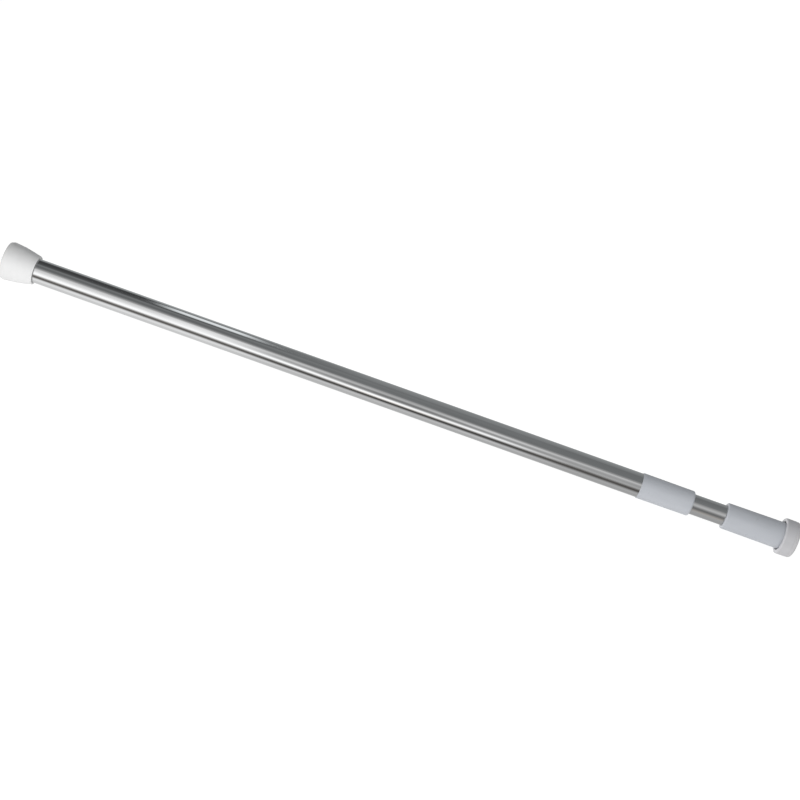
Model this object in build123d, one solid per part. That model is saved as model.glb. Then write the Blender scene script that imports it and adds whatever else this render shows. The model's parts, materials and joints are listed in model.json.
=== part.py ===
from build123d import *
import math
import os

# A telescopic tension bar, held between two walls by its end cap and its screw-out foot.
# All sizes are millimetres. The bar lies along +X. The origin is the centre of the end cap's wall face.
# Every piece is built where it sits with the bar a little extended and the foot screwed right in.

# --- driving dimensions ---------------------------------------------------------------------------

FIT = 0.02              # radial play of pieces fixed to each other
RUNNING = 0.08          # radial play of pieces that turn or slide in each other
CHAMFER = 0.5           # broken edge on turned metal and moulded plugs

OUTER_R = 15.0          # outer tube, outside
INNER_R = 12.5          # inner tube, outside
WALL = 1.0              # wall of both tubes
OUTER_BORE = OUTER_R - WALL
INNER_BORE = INNER_R - WALL

CAP_LENGTH = 38.6       # end cap, from the wall face to its lip
CAP_FLOOR = 8.0         # rubber between the wall and the tube's end
CAP_FACE_R = 22.3       # flat of the wall face
CAP_R = 23.6            # widest, just behind the face
CAP_LIP_R = 17.3        # outside of the lip

COLLAR_START = 806.3
COLLAR_END = 872.2
COLLAR_R = 15.8         # outside at the outer tube
COLLAR_TIP_R = 15.5     # outside at the inner tube
COLLAR_SEAT = 836.0     # shoulder that the outer tube's end stands on
SPIGOT_START = 788.0    # inner end of the collar's spigot inside the outer tube

INNER_START = 124.0     # inner tube's end inside the outer tube
INNER_END = 960.0       # inner tube's end inside the grip sleeve

GRIP_START = 913.8
GRIP_END = 988.0
GRIP_R = 16.1           # outside at the inner tube
GRIP_TIP_R = 16.55      # outside at the foot

FOOT_START = 985.3
FOOT_SEAM = 998.4       # disc behind it, rubber pad in front of it
FOOT_END = 1003.6
FOOT_R = 22.3

LOCK_PITCH = 1.25       # M8 thread of the twist lock
LOCK_TURNS = 2.0
SPINDLE_PITCH = 3.0     # Tr12x3 thread of the foot
SPINDLE_TURNS = 8.0
FOOT_TRAVEL = SPINDLE_PITCH * SPINDLE_TURNS


# --- shapes ---------------------------------------------------------------------------------------


def turned(*corners):
    """A solid of revolution about X. Each corner is (x, r) or (x, r, rounding)."""
    points = [(corner[0], corner[1]) for corner in corners]
    roundings = [corner[2] if len(corner) > 2 else 0 for corner in corners]
    outline = FilletPolyline(*points, radius=roundings, close=True)
    return revolve(make_face(outline), axis=Axis.X)


def ring(x0, x1, outside, bore, edge=0.0):
    """A plain tube or washer from x0 to x1, with its outer edges rounded."""
    return turned((x0, bore), (x0, outside, edge), (x1, outside, edge), (x1, bore))


def rod(x0, x1, radius, edge=0.0):
    """A plain round bar from x0 to x1."""
    return turned((x0, 0), (x0, radius, edge), (x1, radius, edge), (x1, 0))


def hexagon(x0, x1, across_flats):
    """A hexagonal bar from x0 to x1."""
    outline = RegularPolygon(across_flats / 2, 6, major_radius=False)
    return extrude(Plane.YZ.offset(x0) * outline, x1 - x0)


def hex_with_bevel(x0, x1, across_flats):
    """A hexagon with the corners of both ends turned off, as on a nut or a screw head."""
    corner_r = across_flats / math.sqrt(3)
    bevel = corner_r - across_flats / 2
    dome = turned(
        (x0, 0),
        (x0, corner_r - bevel),
        (x0 + bevel / 2, corner_r + CHAMFER),
        (x1 - bevel / 2, corner_r + CHAMFER),
        (x1, corner_r - bevel),
        (x1, 0),
    )
    return hexagon(x0, x1, across_flats) & dome


def flatted(x0, x1, radius, across_flats):
    """A round bar from x0 to x1 with two flats, above and below."""
    slab = Pos((x0 + x1) / 2, 0, 0) * Box(x1 - x0, 4 * radius, across_flats)
    return rod(x0, x1, radius) & slab


# --- fixed side: cap, outer tube, collar ----------------------------------------------------------


def end_cap():
    """Rubber bell. Its wall face has shallow rings for grip, and it is bored for the outer tube."""
    body = turned(
        (0, 0),
        (0, CAP_FACE_R, 0.7),
        (4.0, CAP_R, 1.4),
        (17.7, 22.2, 30.0),
        (29.2, 19.9, 30.0),
        (36.4, 18.2, 5.0),
        (CAP_LENGTH, CAP_LIP_R, 0.9),
        (CAP_LENGTH, OUTER_R + FIT),
        (CAP_FLOOR, OUTER_R + FIT),
        (CAP_FLOOR, 0),
    )
    groove_depth = 0.9
    groove_width = 1.2
    for radius in (9.0, 12.5, 16.0, 19.0):
        body -= ring(-1.0, groove_depth, radius + groove_width / 2, radius - groove_width / 2)
    return body


def tube_plug():
    """Cup in the closed end of the outer tube, which spreads the load on the rubber."""
    length = 12.0
    floor = 3.0
    wall = 2.0
    outside = OUTER_BORE - FIT
    return turned(
        (CAP_FLOOR + FIT, 0),
        (CAP_FLOOR + FIT, outside, CHAMFER),
        (CAP_FLOOR + length, outside, CHAMFER),
        (CAP_FLOOR + length, outside - wall),
        (CAP_FLOOR + floor, outside - wall),
        (CAP_FLOOR + floor, 0),
    )


def collar():
    """Sleeve with a skirt outside the outer tube, a spigot inside it and a bore for the inner tube."""
    bore = INNER_R + RUNNING
    lead_in = 0.15
    return turned(
        (COLLAR_START, OUTER_R + FIT),
        (COLLAR_START, COLLAR_R, 0.25),
        (COLLAR_END, COLLAR_TIP_R, 2.6),
        (COLLAR_END, bore + lead_in),
        (COLLAR_END - lead_in, bore),
        (SPIGOT_START + lead_in, bore),
        (SPIGOT_START, bore + lead_in),
        (SPIGOT_START, OUTER_BORE - FIT),
        (COLLAR_SEAT + FIT, OUTER_BORE - FIT),
        (COLLAR_SEAT + FIT, OUTER_R + FIT),
    )


# --- twist lock: expander, cone nut, screw --------------------------------------------------------

LOCK_SCREW_R = 4.0
LOCK_HEX = 13.0
PLUG_FLANGE = 3.0                       # flange of the plug on the inner tube's end
WASHER_T = 1.4
WEB_END = INNER_START - PLUG_FLANGE - WASHER_T - RUNNING
WEB_T = 5.5                             # wall of the expander that the screw passes through
EXPANDER_LENGTH = 36.0
EXPANDER_START = WEB_END - EXPANDER_LENGTH
EXPANDER_R = OUTER_BORE - RUNNING
TAPER = 0.1                             # radius lost for each millimetre along
SEAT_MOUTH_R = 10.9
SEAT_LENGTH = 26.0
LOCK_FEED = LOCK_PITCH * LOCK_TURNS
CONE_GAP = LOCK_FEED * TAPER + 0.06     # radial gap at rest, all but closed when locked
SLIT = 1.6
SLIT_COUNT = 4
SLIT_LENGTH = 27.0
CONE_OVERHANG = 6.0                     # cone left outside the expander's mouth
CONE_LENGTH = 25.0


def seat_radius(x):
    """Radius of the expander's tapered seat at x."""
    return SEAT_MOUTH_R - TAPER * (x - EXPANDER_START)


def expander():
    """Slit sleeve with a tapered seat. Its closed end bears on the washer."""
    seat_end = EXPANDER_START + SEAT_LENGTH
    web_start = WEB_END - WEB_T
    body = turned(
        (EXPANDER_START, SEAT_MOUTH_R),
        (EXPANDER_START, EXPANDER_R, CHAMFER),
        (WEB_END, EXPANDER_R, CHAMFER),
        (WEB_END, LOCK_SCREW_R + 0.3),
        (web_start, LOCK_SCREW_R + 0.3),
        (web_start, seat_radius(seat_end)),
        (seat_end, seat_radius(seat_end)),
    )
    slit = Box(SLIT_LENGTH, 3 * EXPANDER_R, SLIT)
    for number in range(SLIT_COUNT // 2):
        angle = number * 360 / SLIT_COUNT
        body -= Pos(EXPANDER_START + SLIT_LENGTH / 2, 0, 0) * Rot(angle, 0, 0) * slit
    return body


def cone_nut():
    """Tapered nut. Its ribs run in the expander's slits, so it slides but doesn't turn."""
    start = EXPANDER_START - CONE_OVERHANG
    end = start + CONE_LENGTH
    body = turned(
        (start, LOCK_SCREW_R + RUNNING),
        (start, seat_radius(start) - CONE_GAP, CHAMFER),
        (end, seat_radius(end) - CONE_GAP, CHAMFER),
        (end, LOCK_SCREW_R + RUNNING),
    )
    rib_height = EXPANDER_R - 0.8
    rib_thickness = SLIT - 0.6
    rib_inner = LOCK_SCREW_R + 1.5
    rib_length = CONE_LENGTH - 2.0
    rib = Box(rib_length, rib_height - rib_inner, rib_thickness)
    for number in range(SLIT_COUNT):
        angle = number * 360 / SLIT_COUNT
        seat = Rot(angle, 0, 0) * Pos(start + rib_length / 2, (rib_height + rib_inner) / 2, 0)
        body += seat * rib
    return body


def inner_plug():
    """Plug in the inner tube's inner end, with a hexagon pocket that holds the screw's head."""
    length = 25.0
    pocket_floor = 4.0
    outside = INNER_BORE - FIT
    start = INNER_START - PLUG_FLANGE
    end = INNER_START + length
    body = turned(
        (start, LOCK_SCREW_R + FIT),
        (start, INNER_R - 0.3, CHAMFER),
        (INNER_START - FIT, INNER_R - 0.3),
        (INNER_START - FIT, outside),
        (end, outside, CHAMFER),
        (end, LOCK_SCREW_R + FIT),
    )
    return body - hexagon(INNER_START + pocket_floor, end + 1.0, LOCK_HEX + 2 * FIT)


def lock_washer():
    """Washer between the inner plug's flange and the expander."""
    end = INNER_START - PLUG_FLANGE - FIT
    return ring(end - WASHER_T + FIT, end, 11.0, LOCK_SCREW_R + 0.2, 0.2)


def lock_screw():
    """M8 hexagon screw. Its head is in the inner plug, its thread in the cone nut."""
    head_start = INNER_START + 4.0 + FIT
    head_height = 5.3
    tip = EXPANDER_START - CONE_OVERHANG - 14.0
    shank = rod(tip, head_start, LOCK_SCREW_R, 0.8)
    return shank + hex_with_bevel(head_start, head_start + head_height, LOCK_HEX)


def lock_nut():
    """M8 nut on the screw's tip, which stops the cone nut from coming off."""
    height = 6.8
    start = EXPANDER_START - CONE_OVERHANG - 12.0
    hole = rod(start - 1.0, start + height + 1.0, LOCK_SCREW_R + FIT)
    return hex_with_bevel(start, start + height, LOCK_HEX) - hole


# --- grip end: guide, grip sleeve, nut and their fastenings ---------------------------------------

SPINDLE_R = 6.0
SPINDLE_FLATS = 9.4                     # across the two flats
GUIDE_FLANGE = 2.5
GUIDE_START = INNER_END - 20.0
NECK_R = 9.0
GROOVE_R = 8.2                          # bottom of the circlip's groove in the neck
NECK_END = INNER_END + 11.5
THRUST_T = 1.0
THRUST_START = INNER_END + GUIDE_FLANGE + FIT
GRIP_WEB_START = THRUST_START + THRUST_T + RUNNING
GRIP_WEB_T = 4.0
CLIP_T = 1.0
CLIP_START = GRIP_WEB_START + GRIP_WEB_T + RUNNING
GRIP_NUT_FLATS = 22.0
GRIP_NUT_START = NECK_END + 1.5
GRIP_NUT_END = GRIP_END - 1.0


def inner_tube():
    """Chromed tube with broken edges."""
    return ring(INNER_START, INNER_END, INNER_R, INNER_BORE, 0.3)


def outer_tube():
    """Chromed tube with broken edges."""
    return ring(CAP_FLOOR + FIT, COLLAR_SEAT, OUTER_R, OUTER_BORE, 0.3)


def spindle_guide():
    """Plug in the inner tube's outer end. Its flatted bore stops the spindle from turning."""
    body = turned(
        (GUIDE_START, 0),
        (GUIDE_START, INNER_BORE - FIT, CHAMFER),
        (INNER_END + FIT, INNER_BORE - FIT),
        (INNER_END + FIT, INNER_R),
        (INNER_END + GUIDE_FLANGE, INNER_R, 0.3),
        (INNER_END + GUIDE_FLANGE, NECK_R),
        (NECK_END, NECK_R, CHAMFER),
        (NECK_END, 0),
    )
    groove = ring(CLIP_START - FIT, CLIP_START + CLIP_T + FIT, NECK_R + 1.0, GROOVE_R)
    bore = flatted(
        GUIDE_START - 1.0,
        NECK_END + 1.0,
        SPINDLE_R + RUNNING,
        SPINDLE_FLATS + 2 * RUNNING,
    )
    return body - groove - bore


def thrust_washer():
    """Washer that carries the clamping force from the grip sleeve to the guide."""
    return ring(THRUST_START, THRUST_START + THRUST_T, INNER_R - 0.2, NECK_R + FIT, 0.15)


def circlip():
    """Open ring in the neck's groove, which keeps the grip sleeve on."""
    gap = 5.0
    body = ring(CLIP_START, CLIP_START + CLIP_T, NECK_R + 1.6, GROOVE_R + FIT)
    opening = Pos(CLIP_START + CLIP_T / 2, 0, NECK_R) * Box(2 * CLIP_T, gap, 6.0)
    return body - opening


def grip_sleeve():
    """Sleeve that turns on the inner tube. A web bears on the washer, and the nut sits in front."""
    bore = INNER_R + RUNNING
    lead_in = 0.4
    clip_room = NECK_R + 1.9
    web_end = GRIP_WEB_START + GRIP_WEB_T
    body = turned(
        (GRIP_START, bore + lead_in),
        (GRIP_START, GRIP_R, 1.6),
        (GRIP_END, GRIP_TIP_R, 0.8),
        (GRIP_END, clip_room),
        (web_end, clip_room),
        (web_end, NECK_R + RUNNING),
        (GRIP_WEB_START, NECK_R + RUNNING),
        (GRIP_WEB_START, bore),
        (GRIP_START + lead_in, bore),
    )
    return body - hexagon(GRIP_NUT_START, GRIP_END + 1.0, GRIP_NUT_FLATS + 2 * FIT)


def grip_nut():
    """Brass nut with the trapezoidal thread, pressed in the grip sleeve's hexagon pocket."""
    body = hex_with_bevel(GRIP_NUT_START + FIT, GRIP_NUT_END, GRIP_NUT_FLATS)
    thread = rod(GRIP_NUT_START - 1.0, GRIP_NUT_END + 1.0, SPINDLE_R + RUNNING)
    return body - thread


# --- foot: spindle, disc, pad ---------------------------------------------------------------------

CUP_R = 17.7                            # recess in the disc's back for the grip sleeve's end
CUP_FLOOR = 990.0
SPINDLE_START = GUIDE_START - FOOT_TRAVEL - 0.5
SHANK_R = 4.5                           # reduced end of the spindle, inside the disc
SHANK_START = CUP_FLOOR
SHANK_END = 995.6
STOP_T = 2.0
M4_R = 2.0
M5_R = 2.5


def spindle():
    """Threaded spindle with two flats, tapped at both ends for the two screws."""
    thread = flatted(SPINDLE_START, SHANK_START, SPINDLE_R, SPINDLE_FLATS)
    shank = rod(SHANK_START - 1.0, SHANK_END, SHANK_R)
    foot_hole = rod(SHANK_END - 14.0, SHANK_END + 1.0, M5_R + FIT)
    stop_hole = rod(SPINDLE_START - 1.0, SPINDLE_START + 12.0, M4_R + FIT)
    return thread + shank - foot_hole - stop_hole


def spindle_stop():
    """Washer on the spindle's inner end. It meets the guide when the foot is right out."""
    return ring(SPINDLE_START - FIT - STOP_T, SPINDLE_START - FIT, 9.5, M4_R + 0.2, 0.3)


def stop_screw():
    """Pan-head M4 screw that holds the spindle stop."""
    seat = SPINDLE_START - STOP_T - 2 * FIT
    head_height = 2.6
    slot = Pos(seat - head_height, 0, 0) * Box(2.0, 12.0, 1.0)
    head = rod(seat - head_height, seat, 4.0, 0.9)
    return head + rod(seat - 0.5, SPINDLE_START + 10.0, M4_R) - slot


def foot_disc():
    """Cup with a hub. The spindle's end is fastened in the hub by a screw from the front."""
    head_r = 5.0
    return turned(
        (CUP_FLOOR, SHANK_R + FIT),
        (CUP_FLOOR, CUP_R, 0.6),
        (FOOT_START, CUP_R + 0.3, 0.5),
        (FOOT_START, FOOT_R, 1.6),
        (FOOT_SEAM, FOOT_R, 0.4),
        (FOOT_SEAM, head_r + 0.3),
        (SHANK_END + FIT, M5_R + 0.3),
        (SHANK_END + FIT, SHANK_R + FIT),
    )


def foot_screw():
    """Countersunk M5 screw that draws the disc onto the spindle."""
    head_r = 5.0
    top = FOOT_SEAM - 0.3
    cone_start = SHANK_END + 0.4
    slot = Pos(top, 0, 0) * Box(1.6, 12.0, 1.2)
    body = turned(
        (SHANK_END - 12.0, 0),
        (SHANK_END - 12.0, M5_R, CHAMFER),
        (cone_start, M5_R),
        (top, head_r - 0.1),
        (top, 0),
    )
    return body - slot


def foot_pad():
    """Rubber pad stuck on the disc, with two beads round its rim and rings on its face."""
    start = FOOT_SEAM + FIT
    thickness = FOOT_END - start
    body = turned(
        (start, 0),
        (start, FOOT_R - 0.1, 0.4),
        (FOOT_END, FOOT_R - 0.7, 3.0),
        (FOOT_END, 0),
    )
    rim_groove = 0.5
    groove_x = start + thickness * 0.3
    body -= turned(
        (groove_x - rim_groove, FOOT_R + 1.0),
        (groove_x, FOOT_R - 0.1 - rim_groove),
        (groove_x + rim_groove, FOOT_R + 1.0),
    )
    groove_width = 1.2
    groove_depth = 0.9
    for radius in (8.0, 11.5, 15.0, 18.0):
        body -= ring(
            FOOT_END - groove_depth,
            FOOT_END + 1.0,
            radius + groove_width / 2,
            radius - groove_width / 2,
        )
    return body


# --- write one file for each piece ----------------------------------------------------------------

PIECES = (
    end_cap,
    tube_plug,
    outer_tube,
    collar,
    expander,
    cone_nut,
    lock_screw,
    lock_nut,
    lock_washer,
    inner_plug,
    inner_tube,
    spindle_guide,
    thrust_washer,
    circlip,
    grip_sleeve,
    grip_nut,
    spindle,
    spindle_stop,
    stop_screw,
    foot_disc,
    foot_screw,
    foot_pad,
)

os.makedirs("parts", exist_ok=True)
for piece in PIECES:
    export_step(piece(), f"parts/{piece.__name__}.step")
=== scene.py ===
import json
import math

import bmesh
import bpy
from mathutils import Matrix, Vector

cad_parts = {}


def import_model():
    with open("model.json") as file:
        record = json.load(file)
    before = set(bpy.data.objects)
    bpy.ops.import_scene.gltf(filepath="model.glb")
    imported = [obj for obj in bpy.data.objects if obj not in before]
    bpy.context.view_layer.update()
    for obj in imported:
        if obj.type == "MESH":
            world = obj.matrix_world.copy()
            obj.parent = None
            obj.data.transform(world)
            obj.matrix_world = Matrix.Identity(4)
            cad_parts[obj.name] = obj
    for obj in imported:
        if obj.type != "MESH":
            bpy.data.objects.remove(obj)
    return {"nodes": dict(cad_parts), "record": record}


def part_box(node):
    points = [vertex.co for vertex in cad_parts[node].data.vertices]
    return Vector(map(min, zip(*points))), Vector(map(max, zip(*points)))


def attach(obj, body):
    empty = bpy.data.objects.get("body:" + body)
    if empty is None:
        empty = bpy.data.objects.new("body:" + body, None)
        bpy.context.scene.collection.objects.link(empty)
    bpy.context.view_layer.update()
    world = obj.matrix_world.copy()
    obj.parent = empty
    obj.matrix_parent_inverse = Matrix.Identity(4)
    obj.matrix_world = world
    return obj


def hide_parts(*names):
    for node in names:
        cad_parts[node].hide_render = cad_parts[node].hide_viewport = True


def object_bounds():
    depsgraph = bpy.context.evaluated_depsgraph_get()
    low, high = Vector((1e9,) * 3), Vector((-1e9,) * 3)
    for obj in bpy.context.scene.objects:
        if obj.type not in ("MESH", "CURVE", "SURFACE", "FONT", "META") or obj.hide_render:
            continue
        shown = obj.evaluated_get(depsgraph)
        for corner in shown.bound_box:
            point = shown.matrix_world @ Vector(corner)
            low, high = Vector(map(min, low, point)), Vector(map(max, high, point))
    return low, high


# A telescopic tension bar on a pale studio floor. Metres, in the CAD model's own frame:
# the bar lies along +X, its wall face is at x = 0, +Z is up. Outlines of turned pieces are
# written in millimetres along the bar and from its axis, and scaled when the mesh is made.

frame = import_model()
cad_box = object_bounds()
bar_low, bar_high = cad_box

MM = 0.001
TURN = 2 * math.pi


# --- shader helpers -------------------------------------------------------------------------------


def new_material(name):
    """A node material and its Principled shader."""
    material = bpy.data.materials.new(name)
    material.use_nodes = True
    nodes = material.node_tree.nodes
    nodes.clear()
    shader = nodes.new("ShaderNodeBsdfPrincipled")
    output = nodes.new("ShaderNodeOutputMaterial")
    material.node_tree.links.new(shader.outputs["BSDF"], output.inputs["Surface"])
    return material, shader


def link(material, source, target):
    material.node_tree.links.new(source, target)


def place(material, scale):
    """Object coordinates stretched by scale (x, y, z), in cycles for each metre."""
    nodes = material.node_tree.nodes
    coordinates = nodes.new("ShaderNodeTexCoord")
    mapping = nodes.new("ShaderNodeMapping")
    mapping.inputs["Scale"].default_value = scale
    link(material, coordinates.outputs["Object"], mapping.inputs["Vector"])
    return mapping.outputs["Vector"]


def noise(material, scale, detail=3.0, roughness=0.55):
    """A noise value, 0 to 1, with its own stretch along each axis."""
    node = material.node_tree.nodes.new("ShaderNodeTexNoise")
    node.inputs["Scale"].default_value = 1.0
    node.inputs["Detail"].default_value = detail
    node.inputs["Roughness"].default_value = roughness
    link(material, place(material, scale), node.inputs["Vector"])
    return node.outputs["Fac"]


def along_bar(material):
    """The distance from the wall face, in metres."""
    nodes = material.node_tree.nodes
    coordinates = nodes.new("ShaderNodeTexCoord")
    split = nodes.new("ShaderNodeSeparateXYZ")
    link(material, coordinates.outputs["Object"], split.inputs["Vector"])
    return split.outputs["X"]


def spread(material, value, low, high, start=0.3, end=0.7):
    """Maps value from start..end to low..high."""
    node = material.node_tree.nodes.new("ShaderNodeMapRange")
    node.inputs["From Min"].default_value = start
    node.inputs["From Max"].default_value = end
    node.inputs["To Min"].default_value = low
    node.inputs["To Max"].default_value = high
    link(material, value, node.inputs["Value"])
    return node.outputs["Result"]


def combine(material, operation, first, second):
    """One maths step on two node values."""
    node = material.node_tree.nodes.new("ShaderNodeMath")
    node.operation = operation
    link(material, first, node.inputs[0])
    link(material, second, node.inputs[1])
    return node.outputs["Value"]


def blend_colours(material, value, first, second, start=0.3, end=0.7):
    """A colour between first and second as value goes from start to end."""
    node = material.node_tree.nodes.new("ShaderNodeValToRGB")
    ramp = node.color_ramp
    ramp.elements[0].position = start
    ramp.elements[0].color = (*first, 1.0)
    ramp.elements[1].position = end
    ramp.elements[1].color = (*second, 1.0)
    link(material, value, node.inputs["Fac"])
    return node.outputs["Color"]


def overlay(material, amount, under, over, blend="MIX"):
    """Lays over, a fixed colour or a node's, on under's colour by amount, 0 to 1."""
    node = material.node_tree.nodes.new("ShaderNodeMix")
    node.data_type = "RGBA"
    node.blend_type = blend
    link(material, amount, node.inputs["Factor"])
    link(material, under, node.inputs["A"])
    if isinstance(over, tuple):
        node.inputs["B"].default_value = (*over, 1.0)
    else:
        link(material, over, node.inputs["B"])
    return node.outputs["Result"]


def bump(material, shader, layers):
    """Stacks bump layers, each (height, distance in metres, strength)."""
    previous = None
    for height, distance, strength in layers:
        node = material.node_tree.nodes.new("ShaderNodeBump")
        node.inputs["Distance"].default_value = distance
        node.inputs["Strength"].default_value = strength
        link(material, height, node.inputs["Height"])
        if previous is not None:
            link(material, previous, node.inputs["Normal"])
        previous = node.outputs["Normal"]
    link(material, previous, shader.inputs["Normal"])


# --- materials ------------------------------------------------------------------------------------


def chrome_material():
    """Bright chrome on drawn tube: fine lines along the tube, faint haze, smudges and hair scratches."""
    material, shader = new_material("chrome_tube")
    drawn = noise(material, (1.5, 420.0, 420.0), detail=5.0, roughness=0.65)
    haze = noise(material, (9.0, 40.0, 40.0), detail=4.0)
    smudges = noise(material, (24.0, 55.0, 55.0), detail=5.0, roughness=0.7)
    scratches = noise(material, (6.0, 2600.0, 2600.0), detail=1.0)
    colour = blend_colours(material, haze, (0.625, 0.63, 0.635), (0.675, 0.68, 0.685))
    link(material, colour, shader.inputs["Base Color"])
    plating = spread(material, haze, 0.06, 0.10)
    dulled = spread(material, smudges, 0.0, 0.07, 0.56, 0.72)
    link(material, combine(material, "ADD", plating, dulled), shader.inputs["Roughness"])
    shader.inputs["Metallic"].default_value = 1.0
    bump(material, shader, [(drawn, 0.02 * MM, 0.25), (scratches, 0.004 * MM, 0.2)])
    return material


def rubber_material(name, clean, shaded, scuffed, scuff_start, scuff_end):
    """Soft moulded rubber with a fine grain. Scuffs grow from scuff_start to its face at scuff_end."""
    material, shader = new_material(name)
    mottling = noise(material, (60.0, 60.0, 60.0), detail=5.0)
    grain = noise(material, (2600.0, 2600.0, 2600.0), detail=2.0)
    scuffs = noise(material, (500.0, 140.0, 140.0), detail=5.0, roughness=0.7)
    near_face = spread(material, along_bar(material), 0.0, 1.0, scuff_start, scuff_end)
    worn = combine(material, "MULTIPLY", near_face, spread(material, scuffs, 0.0, 1.0, 0.45, 0.75))
    base = blend_colours(material, mottling, shaded, clean)
    link(material, overlay(material, worn, base, scuffed), shader.inputs["Base Color"])
    link(material, spread(material, mottling, 0.38, 0.50), shader.inputs["Roughness"])
    bump(material, shader, [(grain, 0.05 * MM, 0.2), (scuffs, 0.04 * MM, 0.12)])
    return material


def plastic_material(name, darker, lighter):
    """Satin moulded plastic with flow marks, a faint orange peel and rubbed patches."""
    material, shader = new_material(name)
    flow = noise(material, (18.0, 90.0, 90.0), detail=4.0)
    peel = noise(material, (700.0, 700.0, 700.0), detail=2.0)
    rubbed = noise(material, (260.0, 45.0, 45.0), detail=5.0, roughness=0.7)
    colour = blend_colours(material, flow, darker, lighter)
    link(material, colour, shader.inputs["Base Color"])
    satin = spread(material, flow, 0.30, 0.38)
    polish = spread(material, rubbed, 0.0, 0.10, 0.5, 0.75)
    link(material, combine(material, "SUBTRACT", satin, polish), shader.inputs["Roughness"])
    bump(material, shader, [(peel, 0.05 * MM, 0.15), (rubbed, 0.01 * MM, 0.15)])
    return material


def nylon_material():
    """Natural nylon, slightly cream, matt."""
    material, shader = new_material("nylon")
    mottling = noise(material, (90.0, 90.0, 90.0), detail=4.0)
    colour = blend_colours(material, mottling, (0.66, 0.64, 0.57), (0.74, 0.72, 0.66))
    link(material, colour, shader.inputs["Base Color"])
    link(material, spread(material, mottling, 0.45, 0.6), shader.inputs["Roughness"])
    bump(material, shader, [(mottling, 0.05 * MM, 0.3)])
    return material


def steel_material():
    """Zinc-plated steel with turning marks and a patchy grey."""
    material, shader = new_material("zinc_steel")
    patches = noise(material, (160.0, 160.0, 160.0), detail=4.0)
    turning = noise(material, (3500.0, 120.0, 120.0), detail=2.0)
    colour = blend_colours(material, patches, (0.48, 0.49, 0.50), (0.62, 0.63, 0.63))
    link(material, colour, shader.inputs["Base Color"])
    link(material, spread(material, patches, 0.28, 0.42), shader.inputs["Roughness"])
    shader.inputs["Metallic"].default_value = 1.0
    bump(material, shader, [(turning, 0.03 * MM, 0.3)])
    return material


def brass_material():
    """Turned brass, lightly tarnished."""
    material, shader = new_material("brass")
    patches = noise(material, (120.0, 120.0, 120.0), detail=4.0)
    colour = blend_colours(material, patches, (0.58, 0.42, 0.18), (0.72, 0.56, 0.27))
    link(material, colour, shader.inputs["Base Color"])
    link(material, spread(material, patches, 0.25, 0.4), shader.inputs["Roughness"])
    shader.inputs["Metallic"].default_value = 1.0
    bump(material, shader, [(patches, 0.03 * MM, 0.3)])
    return material


CAP_SCUFFS = (6.0 * MM, 0.0)
PAD_SCUFFS = (bar_high.x - 3.0 * MM, bar_high.x)
MATERIALS = {
    "chrome_tube": chrome_material(),
    "white_rubber": rubber_material(
        "white_rubber", (0.63, 0.63, 0.63), (0.595, 0.595, 0.595), (0.52, 0.515, 0.505), *CAP_SCUFFS
    ),
    "pad_rubber": rubber_material(
        "pad_rubber", (0.565, 0.56, 0.57), (0.535, 0.53, 0.54), (0.47, 0.465, 0.465), *PAD_SCUFFS
    ),
    "white_plastic": plastic_material("white_plastic", (0.455, 0.473, 0.508), (0.49, 0.508, 0.542)),
    "foot_plastic": plastic_material("foot_plastic", (0.503, 0.501, 0.519), (0.541, 0.538, 0.554)),
    "nylon": nylon_material(),
    "zinc_steel": steel_material(),
    "brass": brass_material(),
}
SLOTS = {subpart["node"]: subpart["material_slot"] for subpart in frame["record"]["subparts"]}
# The foot is moulded in a more neutral white than the collar and grip.
LOOKS = {**SLOTS, "foot_disc": "foot_plastic"}
for node, look in LOOKS.items():
    mesh = frame["nodes"][node].data
    mesh.materials.clear()
    mesh.materials.append(MATERIALS[look])


# --- turned shapes --------------------------------------------------------------------------------

SEGMENTS = 192                  # facets round a turned piece
ARC_STEP = math.radians(9.0)    # most that one facet of a rounding turns
SEAM_ANGLE = math.radians(125)  # the parting line of moulded pieces, and another opposite it
SEAM_WIDTH = 0.30               # mm
SEAM_HEIGHT = 0.05              # mm
SHARP = math.radians(40)        # edges sharper than this aren't shaded smooth
ON_AXIS = 0.05                  # mm; a smaller ring of points becomes one point


def rounded(corners):
    """A closed outline in mm. Each corner (x, r, rounding) with a rounding becomes an arc."""
    points = []
    for index, corner in enumerate(corners):
        spot = Vector(corner[:2])
        rounding = corner[2] if len(corner) > 2 else 0.0
        if rounding == 0.0:
            points.append(spot)
            continue
        before = (Vector(corners[index - 1][:2]) - spot).normalized()
        after = (Vector(corners[(index + 1) % len(corners)][:2]) - spot).normalized()
        half = before.angle(after) / 2
        centre = spot + (before + after).normalized() * rounding / math.sin(half)
        spoke = spot + before * rounding / math.tan(half) - centre
        sweep = math.copysign(math.pi - 2 * half, before.cross(after))
        steps = max(4, math.ceil(abs(sweep) / ARC_STEP))
        for number in range(steps + 1):
            points.append(centre + Matrix.Rotation(-sweep * number / steps, 2) @ spoke)
    return points


def spokes(seam_radius):
    """Angles round the axis. Where seam_radius is given, three close ones mark each parting line."""
    angles = [TURN * number / SEGMENTS for number in range(SEGMENTS)]
    if seam_radius is None:
        return [(angle, 0.0) for angle in angles]
    edge = SEAM_WIDTH / 2 / seam_radius
    clear = 1.5 * edge
    seams = [SEAM_ANGLE, SEAM_ANGLE + math.pi]
    marked = [(angle, 0.0) for angle in angles if min(abs(angle - seam) for seam in seams) > clear]
    for seam in seams:
        marked += [(seam - edge, 0.0), (seam, SEAM_HEIGHT), (seam + edge, 0.0)]
    return sorted(marked)


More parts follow.
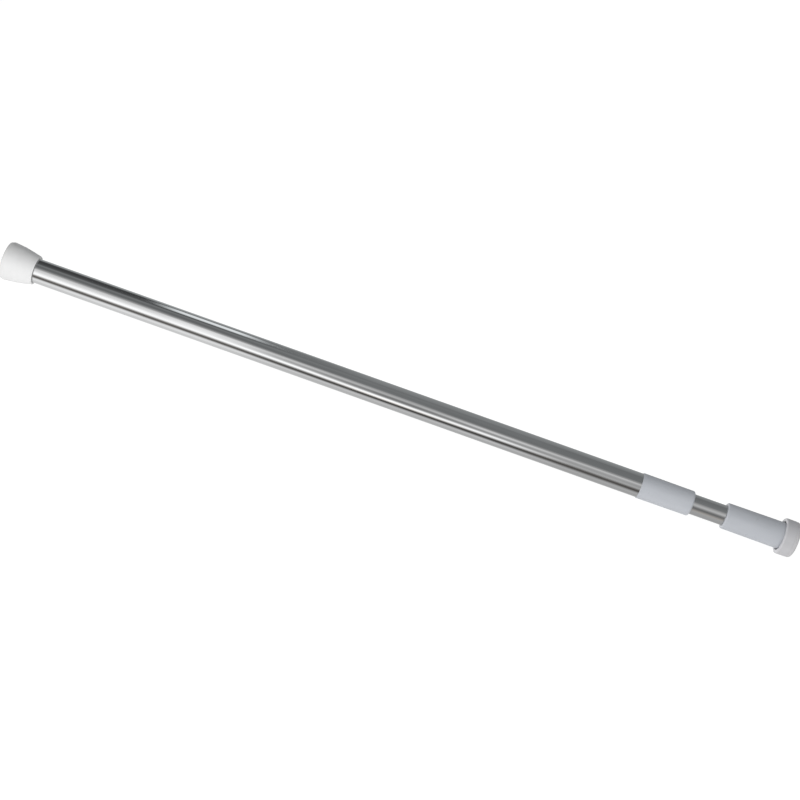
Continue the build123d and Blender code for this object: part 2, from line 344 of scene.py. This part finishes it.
def lathe(name, outline, seam_radius=None, seam_from=0.0, shape=None):
    """Revolves an outline in mm about the bar's axis.

    The parting line is SEAM_WIDTH wide at seam_radius and shows outside seam_from, both in mm.
    shape(x, radius, angle), where given, trims the radius at each point.
    """
    form = bmesh.new()
    angles = spokes(seam_radius)
    rings = []
    for x, radius in outline:
        if radius < ON_AXIS:
            rings.append([form.verts.new((x * MM, 0.0, 0.0))])
            continue
        circle = []
        for angle, height in angles:
            out = radius + (height if radius > seam_from else 0.0)
            if shape is not None:
                out = shape(x, out, angle)
            point = Vector((x, out * math.cos(angle), out * math.sin(angle)))
            circle.append(form.verts.new(point * MM))
        rings.append(circle)
    for first, second in zip(rings, rings[1:] + rings[:1]):
        for number in range(len(angles)):
            following = number + 1
            around = [
                first[number % len(first)],
                first[following % len(first)],
                second[following % len(second)],
                second[number % len(second)],
            ]
            corners = list(dict.fromkeys(around))
            if len(corners) > 2:
                form.faces.new(corners)
    bmesh.ops.recalc_face_normals(form, faces=form.faces)
    mesh = bpy.data.meshes.new(name)
    form.to_mesh(mesh)
    form.free()
    mesh.shade_smooth()
    mesh.set_sharp_from_angle(angle=SHARP)
    piece = bpy.data.objects.new(name, mesh)
    bpy.context.scene.collection.objects.link(piece)
    weighted = piece.modifiers.new("even_shading", "WEIGHTED_NORMAL")
    weighted.keep_sharp = True
    return piece


def grip_rings(face, depth, radii):
    """Corners of round-edged grooves in a face. They run outwards, and depth is along +X."""
    lip = 0.25
    corners = []
    for radius in radii:
        near = radius - RING_WIDTH / 2
        far = radius + RING_WIDTH / 2
        corners += [
            (face, near, lip),
            (face + depth, near, lip),
            (face + depth, far, lip),
            (face, far, lip),
        ]
    return corners


# --- pieces that show -----------------------------------------------------------------------------

# All in mm.
FIT = 0.02              # gap between two pieces that are fixed together
RUNNING_FIT = 0.08      # gap between two pieces that slide or turn on each other
OUTER_BORE = 14.0       # radii inside the two tubes
INNER_BORE = 11.5
TUBE_EDGE = 0.35        # rounding of the tubes' rims
COLLAR_SKIRT = 806.3    # where the collar's skirt starts on the outer tube
CUP_FLOOR = 990.0       # bottom of the foot's cup, which the spindle's shoulder rests on
SHANK_R = 4.5           # plain end of the spindle
RING_WIDTH = 1.2        # grooves in the faces of the cap and the pad
RING_DEPTH = 0.9


def extent(node):
    """Start, end and largest radius of a CAD node, in mm."""
    low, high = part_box(node)
    return low.x / MM, high.x / MM, high.z / MM


TUBE_START, TUBE_END, OUTER_R = extent("outer_tube")
INNER_START, INNER_END, INNER_R = extent("inner_tube")
GUIDE_BORE = INNER_R + RUNNING_FIT      # of the collar and the grip sleeve, round the inner tube


def end_cap():
    """Rubber bell with a moulded gate mark and grip rings on its face, and a beaded lip."""
    face, lip, widest = extent("end_cap")
    corners = [
        # The face, outwards from its centre.
        (face + 0.4, 0.0),
        (face + 0.4, 1.8, 0.3),
        (face, 2.2, 0.2),
        *grip_rings(face, RING_DEPTH, (9.0, 12.5, 16.0, 19.0)),
        (face, 22.3, 0.7),
        # The bell, narrowing to the lip.
        (face + 4.0, widest, 1.4),
        (face + 17.7, 22.2, 30.0),
        (face + 29.2, 19.9, 30.0),
        (lip - 2.2, 18.2, 3.0),
        (lip - 1.5, 17.9, 0.5),
        (lip - 1.1, 18.0, 0.4),
        (lip, 17.5, 0.5),
        (lip, 16.4, 0.3),
        # The socket for the tube.
        (lip - 0.5, OUTER_R + FIT, 0.2),
        (TUBE_START - FIT, OUTER_R + FIT),
        (TUBE_START - FIT, 0.0),
    ]
    return lathe("end_cap_rubber", rounded(corners), seam_radius=widest, seam_from=16.0)


def chromed_tube(name, start, end, bore, radius):
    """Chromed tube with rolled rims."""
    corners = [
        (start, bore, TUBE_EDGE),
        (start, radius, TUBE_EDGE),
        (end, radius, TUBE_EDGE),
        (end, bore, TUBE_EDGE),
    ]
    return lathe(name, rounded(corners))


def outer_tube():
    """The tube that the cap and the collar are fixed to."""
    return chromed_tube("outer_tube_chrome", TUBE_START, TUBE_END, OUTER_BORE, OUTER_R)


def inner_tube():
    """The thinner tube that slides in the outer one."""
    return chromed_tube("inner_tube_chrome", INNER_START, INNER_END, INNER_BORE, INNER_R)


def collar():
    """Moulded sleeve: skirt over the outer tube, spigot inside it, rounded tip at the inner tube."""
    spigot, tip, widest = extent("collar")
    tip_chamfer = 0.3
    spigot_chamfer = 0.15
    corners = [
        (COLLAR_SKIRT, OUTER_R + FIT),
        (COLLAR_SKIRT, widest, 0.3),
        (tip, 15.5, 2.5),
        (tip, GUIDE_BORE + tip_chamfer, 0.15),
        (tip - tip_chamfer, GUIDE_BORE),
        (spigot + spigot_chamfer, GUIDE_BORE),
        (spigot, GUIDE_BORE + spigot_chamfer),
        (spigot, OUTER_BORE - FIT),
        (TUBE_END + FIT, OUTER_BORE - FIT),
        (TUBE_END + FIT, OUTER_R + FIT),
    ]
    return lathe("collar_plastic", rounded(corners), seam_radius=widest, seam_from=OUTER_R + 0.3)


def grip_sleeve():
    """Moulded sleeve that is turned by hand. Its mouth shows the brass nut when the foot is out."""
    start, end, widest = extent("grip_sleeve")
    chamfer = 0.4
    web_start = extent("thrust_washer")[1] + RUNNING_FIT
    web_end = extent("circlip")[0] - RUNNING_FIT
    neck_bore = 9.0 + RUNNING_FIT
    circlip_bore = 10.9
    mouth = 12.85
    nut_seat = extent("grip_nut")[0] - FIT
    corners = [
        (start, GUIDE_BORE + chamfer, 0.2),
        (start, 16.1, 1.6),
        (end, widest, 0.9),
        (end, mouth, 0.3),
        (nut_seat, mouth),
        (nut_seat, circlip_bore),
        (web_end, circlip_bore),
        (web_end, neck_bore),
        (web_start, neck_bore),
        (web_start, GUIDE_BORE),
        (start + chamfer, GUIDE_BORE),
    ]
    return lathe("grip_sleeve_plastic", rounded(corners), seam_radius=widest, seam_from=15.6)


def foot_disc():
    """Cup-shaped disc with a soft back edge. The grip sleeve's end sits in it."""
    back, seam, widest = extent("foot_disc")
    cup = 17.7
    draft = 0.3
    hub = SHANK_R + FIT
    screw_seat = extent("spindle")[1] + FIT
    corners = [
        (CUP_FLOOR, hub),
        (CUP_FLOOR, cup, 0.6),
        (back, cup + draft, 0.5),
        (back, widest, 1.6),
        (seam, widest, 0.45),
        (seam, 5.3),
        (screw_seat, 2.8),
        (screw_seat, hub),
    ]
    return lathe("foot_disc_plastic", rounded(corners), seam_radius=widest, seam_from=20.0)


def foot_pad():
    """Rubber pad with a step at its back, a crowned rim and grip rings on its face."""
    back, face, widest = extent("foot_pad")
    corners = [
        (back, 0.0),
        (back, widest - 0.15, 0.3),
        (back + 1.3, widest, 0.4),
        (back + 1.65, widest - 0.4, 0.2),
        (back + 2.0, widest - 0.05, 0.4),
        (face, widest - 0.6, 3.0),
        *reversed(grip_rings(face, -RING_DEPTH, (8.0, 11.5, 15.0, 18.0))),
        (face, 2.2, 0.2),
        (face - 0.4, 1.8, 0.3),
        (face - 0.4, 0.0),
    ]
    return lathe("foot_pad_rubber", rounded(corners))


PITCH = 3.0             # trapezoidal thread of the spindle, mm
ROOT_R = 4.3
FLATS = 9.4             # across the spindle's two flats
CREST_SHARE = 0.366     # of the pitch, at the crest and again at the root
THREAD_STEP = 0.25      # between rings of points along the thread
THREAD_LEAD = 0.1       # height of the thread over the shank where its chamfer starts


def thread_depth(x, angle):
    """0 at the thread's root, 1 at its crest."""
    phase = (x / PITCH - angle / TURN) % 1.0
    flank = 0.5 - CREST_SHARE
    if phase < CREST_SHARE:
        return 1.0
    if phase < 0.5:
        return 1.0 - (phase - CREST_SHARE) / flank
    if phase < 0.5 + CREST_SHARE:
        return 0.0
    return (phase - 0.5 - CREST_SHARE) / flank


def spindle():
    """Steel spindle with a real trapezoidal thread and two flats, drilled at both ends."""
    start, end, _ = extent("spindle")
    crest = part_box("spindle")[1].y / MM
    stop_hole = 2.0 + FIT
    stop_depth = 12.0
    foot_hole = 2.5 + FIT
    foot_depth = 14.0

    def trimmed(x, radius, angle):
        if radius <= SHANK_R:
            return radius
        thread = ROOT_R + (crest - ROOT_R) * thread_depth(x, angle)
        flat = FLATS / 2 / max(abs(math.sin(angle)), 0.01)
        return min(radius, thread, flat)

    outline = [
        (start + stop_depth, 0.0),
        (start + stop_depth, stop_hole),
        (start, stop_hole),
        (start, SHANK_R),
    ]
    steps = round((CUP_FLOOR - start) / THREAD_STEP)
    for number in range(steps + 1):
        x = start + (CUP_FLOOR - start) * number / steps
        chamfer = SHANK_R + THREAD_LEAD + (x - start)
        outline.append((x, min(crest, chamfer)))
    outline += [
        (CUP_FLOOR, SHANK_R),
        (end, SHANK_R),
        (end, foot_hole),
        (end - foot_depth, foot_hole),
        (end - foot_depth, 0.0),
    ]
    return lathe("spindle_steel", outline, shape=trimmed)


BODIES = frame["record"]["behaviour"]["bodies"]


def show(piece, node):
    """Puts a finished piece in a CAD node's place, with that node's look and body."""
    body = next(name for name, members in BODIES.items() if node in members)
    piece.data.materials.append(MATERIALS[LOOKS[node]])
    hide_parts(node)
    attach(piece, body)


for make in (end_cap, outer_tube, collar, inner_tube, grip_sleeve, foot_pad, spindle, foot_disc):
    show(make(), make.__name__)


# --- studio ---------------------------------------------------------------------------------------

FLOOR_Z = bar_low.z
BAR_MIDDLE = Vector(((bar_low.x + bar_high.x) / 2, 0.0, 0.0))


def floor():
    """Pale floor, partly lit from within like a light table, so that shadows stay faint."""
    size = 40.0
    mesh = bpy.data.meshes.new("floor")
    grid = bmesh.new()
    bmesh.ops.create_grid(grid, x_segments=1, y_segments=1, size=size / 2)
    grid.to_mesh(mesh)
    grid.free()
    sheet = bpy.data.objects.new("floor", mesh)
    sheet.location = (BAR_MIDDLE.x, 0.0, FLOOR_Z)
    bpy.context.scene.collection.objects.link(sheet)
    material, shader = new_material("pale_floor")
    shader.inputs["Base Color"].default_value = (0.3, 0.3, 0.3, 1.0)
    shader.inputs["Roughness"].default_value = 0.9
    shader.inputs["Emission Color"].default_value = (1.0, 1.0, 1.0, 1.0)
    shader.inputs["Emission Strength"].default_value = 0.90
    mesh.materials.append(material)
    sheet.visible_glossy = False


TENT_RADIUS = 1.5
TENT_LENGTH = 7.0
TENT_STRENGTH = 1.5
# Brightness round the bar, by height above the horizon in degrees: 0 is in front of the bar at its
# own height, 90 is overhead, 180 behind it and -90 straight below. One profile for each stretch.
TENT_CAP_END = (
    (-180, 0.40), (-172, 0.40), (-160, 0.85), (-146, 0.85), (-134, 0.55), (-90, 0.57), (-60, 0.75),
    (-49, 0.64), (-39, 0.17), (-28, 0.08), (-18, 0.28), (-8, 0.87), (0, 1.02), (12, 0.86),
    (24, 0.66), (38, 0.58), (50, 0.28), (62, 0.14), (72, 0.12), (87, 0.165), (102, 0.07),
    (120, 0.045), (140, 0.05), (158, 0.28), (174, 0.3), (180, 0.40),
)
TENT_LEFT = (
    (-180, 0.34), (-172, 0.34), (-160, 0.82), (-146, 0.82), (-134, 0.50), (-90, 0.46), (-72, 0.48),
    (-61, 0.59), (-53, 0.54), (-46, 0.31), (-39, 0.10), (-31, 0.06), (-23, 0.14), (-15, 0.50),
    (-7, 1.00), (0, 1.02), (7, 0.62), (14, 0.36), (21, 0.32), (29, 0.43), (37, 0.54), (44, 0.41),
    (51, 0.21), (59, 0.13), (72, 0.145), (87, 0.175), (100, 0.14), (120, 0.15), (145, 0.16),
    (174, 0.27), (180, 0.34),
)
TENT_MIDDLE = (
    (-180, 0.30), (-172, 0.30), (-160, 0.80), (-146, 0.80), (-134, 0.45), (-90, 0.41), (-60, 0.50),
    (-48, 0.36), (-40, 0.09), (-31, 0.04), (-23, 0.24), (-16, 0.85), (-8, 1.08), (-1, 0.78),
    (6, 0.32), (14, 0.17), (22, 0.20), (35, 0.42), (46, 0.34), (58, 0.17), (72, 0.155), (90, 0.17),
    (104, 0.155), (122, 0.20), (145, 0.22), (174, 0.25), (180, 0.30),
)
TENT_MID_RIGHT = (
    (-180, 0.29), (-172, 0.29), (-160, 0.78), (-146, 0.78), (-134, 0.42), (-90, 0.38), (-72, 0.45),
    (-61, 0.54), (-53, 0.43), (-45, 0.19), (-36, 0.05), (-29, 0.05), (-22, 0.17), (-14, 0.62),
    (-7, 1.00), (0, 0.84), (7, 0.42), (14, 0.26), (21, 0.32), (28, 0.54), (35, 0.62), (42, 0.40),
    (50, 0.19), (60, 0.145), (90, 0.165), (107, 0.16), (126, 0.21), (145, 0.21), (174, 0.25),
    (180, 0.29),
)
TENT_RIGHT = (
    (-180, 0.28), (-172, 0.28), (-160, 0.75), (-146, 0.75), (-134, 0.40), (-90, 0.33), (-60, 0.38),
    (-47, 0.29), (-38, 0.12), (-27, 0.055), (-17, 0.135), (-5, 0.34), (2, 0.37), (12, 0.31),
    (22, 0.33), (36, 0.49), (48, 0.26), (60, 0.155), (90, 0.15), (110, 0.145), (130, 0.20),
    (160, 0.24), (174, 0.25), (180, 0.28),
)
TENT_FAR = (
    (-180, 0.28), (-172, 0.28), (-160, 0.75), (-146, 0.75), (-134, 0.40), (-90, 0.31), (-50, 0.34),
    (-36, 0.34), (-26, 0.28), (-17, 0.20), (-8, 0.14), (0, 0.14), (9, 0.20), (18, 0.34),
    (28, 0.44), (40, 0.38), (52, 0.28), (64, 0.17), (90, 0.15), (115, 0.14), (140, 0.2),
    (174, 0.25), (180, 0.28),
)
TENT_PROFILES = (TENT_CAP_END, TENT_LEFT, TENT_MIDDLE, TENT_MID_RIGHT, TENT_RIGHT, TENT_FAR)
# Where the light changes from one profile to the next, in metres along the bar.
TENT_CHANGES = ((0.05, 0.26), (0.28, 0.45), (0.53, 0.70), (0.71, 0.90), (1.07, 1.17))
# An overhead lamp near the cap end: its brightness round the bar, and where along the bar it comes
# in and goes out.
LAMP_GLOW = (
    (-180, 0.0), (8, 0.0), (24, 0.13), (37, 0.13), (50, 0.0), (101, 0.0), (117, 0.70), (130, 0.70),
    (146, 0.0), (180, 0.0),
)
LAMP_START = (-0.08, -0.02)
LAMP_END = (0.12, 0.20)
COOL = (0.965, 1.0, 1.012)
COOL_ABOVE = 55         # degrees above the horizon
WARM = (1.045, 1.0, 0.955)
WARM_BELOW = (-45, -15)
NEUTRAL = (1.0, 1.0, 1.0)


def tint(height):
    """Light from above is slightly cool and light off the floor slightly warm."""
    lowest, highest = WARM_BELOW
    if height > COOL_ABOVE:
        return COOL
    if lowest < height < highest:
        return WARM
    return NEUTRAL


def tent_ramp(material, angle, stops):
    """Brightness by angle, where angle runs from 0 at -180 degrees to 1 at 180."""
    node = material.node_tree.nodes.new("ShaderNodeValToRGB")
    ramp = node.color_ramp
    ramp.interpolation = "EASE"
    while len(ramp.elements) > 1:
        ramp.elements.remove(ramp.elements[0])
    for number, (height, value) in enumerate(stops):
        position = height / 360 + 0.5
        stop = ramp.elements[0] if number == 0 else ramp.elements.new(position)
        stop.position = position
        stop.color = (*(value * share for share in tint(height)), 1.0)
    link(material, angle, node.inputs["Fac"])
    return node.outputs["Color"]


def tent_material():
    """Emission that changes along the tent and round it, with one overhead lamp's glow."""
    material = bpy.data.materials.new("tent_light")
    material.use_nodes = True
    nodes = material.node_tree.nodes
    nodes.clear()
    coordinates = nodes.new("ShaderNodeTexCoord")
    split = nodes.new("ShaderNodeSeparateXYZ")
    link(material, coordinates.outputs["Object"], split.inputs["Vector"])
    front = nodes.new("ShaderNodeMath")
    front.operation = "MULTIPLY"
    front.inputs[1].default_value = -1.0
    link(material, split.outputs["Y"], front.inputs[0])
    angle = combine(material, "ARCTAN2", split.outputs["Z"], front.outputs["Value"])
    turn = spread(material, angle, 0.0, 1.0, -math.pi, math.pi)
    along = split.outputs["X"]
    colour = tent_ramp(material, turn, TENT_PROFILES[0])
    for (start, end), profile in zip(TENT_CHANGES, TENT_PROFILES[1:]):
        amount = spread(material, along, 0.0, 1.0, start, end)
        colour = overlay(material, amount, colour, tent_ramp(material, turn, profile))
    lamp_on = spread(material, along, 0.0, 1.0, *LAMP_START)
    lamp_off = spread(material, along, 1.0, 0.0, *LAMP_END)
    window = combine(material, "MULTIPLY", lamp_on, lamp_off)
    colour = overlay(material, window, colour, tent_ramp(material, turn, LAMP_GLOW), blend="ADD")
    glow = nodes.new("ShaderNodeEmission")
    glow.inputs["Strength"].default_value = TENT_STRENGTH
    link(material, colour, glow.inputs["Color"])
    output = nodes.new("ShaderNodeOutputMaterial")
    link(material, glow.outputs["Emission"], output.inputs["Surface"])
    return material


def light_tent():
    """A softly lit tent round the bar. It isn't seen by the camera, only reflected and felt as light."""
    mesh = bpy.data.meshes.new("light_tent")
    shell = bmesh.new()
    bmesh.ops.create_cone(
        shell,
        cap_ends=True,
        segments=96,
        radius1=TENT_RADIUS,
        radius2=TENT_RADIUS,
        depth=TENT_LENGTH,
        matrix=Matrix.Translation(BAR_MIDDLE) @ Matrix.Rotation(math.pi / 2, 4, "Y"),
    )
    shell.to_mesh(mesh)
    shell.free()
    mesh.materials.append(tent_material())
    tent = bpy.data.objects.new("light_tent", mesh)
    bpy.context.scene.collection.objects.link(tent)
    tent.visible_camera = False


def facing(spot, back, roll=0.0):
    """A matrix at spot that looks against back, level, then rolled about its view."""
    level_right = Vector((0.0, 0.0, 1.0)).cross(back).normalized()
    level_up = back.cross(level_right)
    right = math.cos(roll) * level_right + math.sin(roll) * level_up
    up = math.cos(roll) * level_up - math.sin(roll) * level_right
    return Matrix.Translation(spot) @ Matrix((right, up, back)).transposed().to_4x4()


def from_front(height_angle):
    """The direction from the bar towards the front, at an angle above the horizon in degrees."""
    height = math.radians(height_angle)
    return Vector((0.0, -math.cos(height), math.sin(height)))


def from_cap_end(height_angle):
    """The direction from the bar past its cap, at an angle above the horizon in degrees."""
    height = math.radians(height_angle)
    return Vector((-math.cos(height), 0.0, math.sin(height)))


def soft_box(name, x, towards, distance, width, height, energy):
    """Soft box that looks at the bar's axis at x. It lights rubber and plastic, not the chrome."""
    light = bpy.data.lights.new(name, "AREA")
    light.shape = "RECTANGLE"
    light.size = width
    light.size_y = height
    light.energy = energy
    lamp = bpy.data.objects.new(name, light)
    lamp.matrix_world = facing(Vector((x, 0.0, 0.0)) + distance * towards, towards)
    lamp.visible_camera = False
    lamp.visible_glossy = False
    bpy.context.scene.collection.objects.link(lamp)


def world():
    """Pale surroundings past the floor's edge."""
    surroundings = bpy.data.worlds.new("surroundings")
    surroundings.use_nodes = True
    background = surroundings.node_tree.nodes["Background"]
    background.inputs["Color"].default_value = (0.95, 0.95, 0.95, 1.0)
    background.inputs["Strength"].default_value = 1.0
    bpy.context.scene.world = surroundings


def camera():
    """Looks down on the bar, square to it, rolled so that the cap is up and to the left."""
    distance = 1.8
    roll = math.radians(19.6)
    off_middle = 0.65 * MM
    back = from_front(30.0)
    data = bpy.data.cameras.new("camera")
    data.lens = 67.5
    data.sensor_width = 36.0
    eye = bpy.data.objects.new("camera", data)
    aim = BAR_MIDDLE - Vector((off_middle, 0.0, 0.0))
    eye.matrix_world = facing(aim + distance * back, back, roll)
    bpy.context.scene.collection.objects.link(eye)
    bpy.context.scene.camera = eye


floor()
light_tent()
soft_box("foot_light", 0.60, from_front(50.0), distance=1.3, width=0.5, height=0.4, energy=5.6)
soft_box("cap_light", 0.12, from_front(5.0), distance=0.6, width=0.25, height=0.05, energy=1.35)
soft_box("end_light", 0.0, from_cap_end(9.0), distance=2.8, width=1.2, height=0.7, energy=18.0)
world()
camera()
bpy.context.scene.view_settings.view_transform = "Standard"
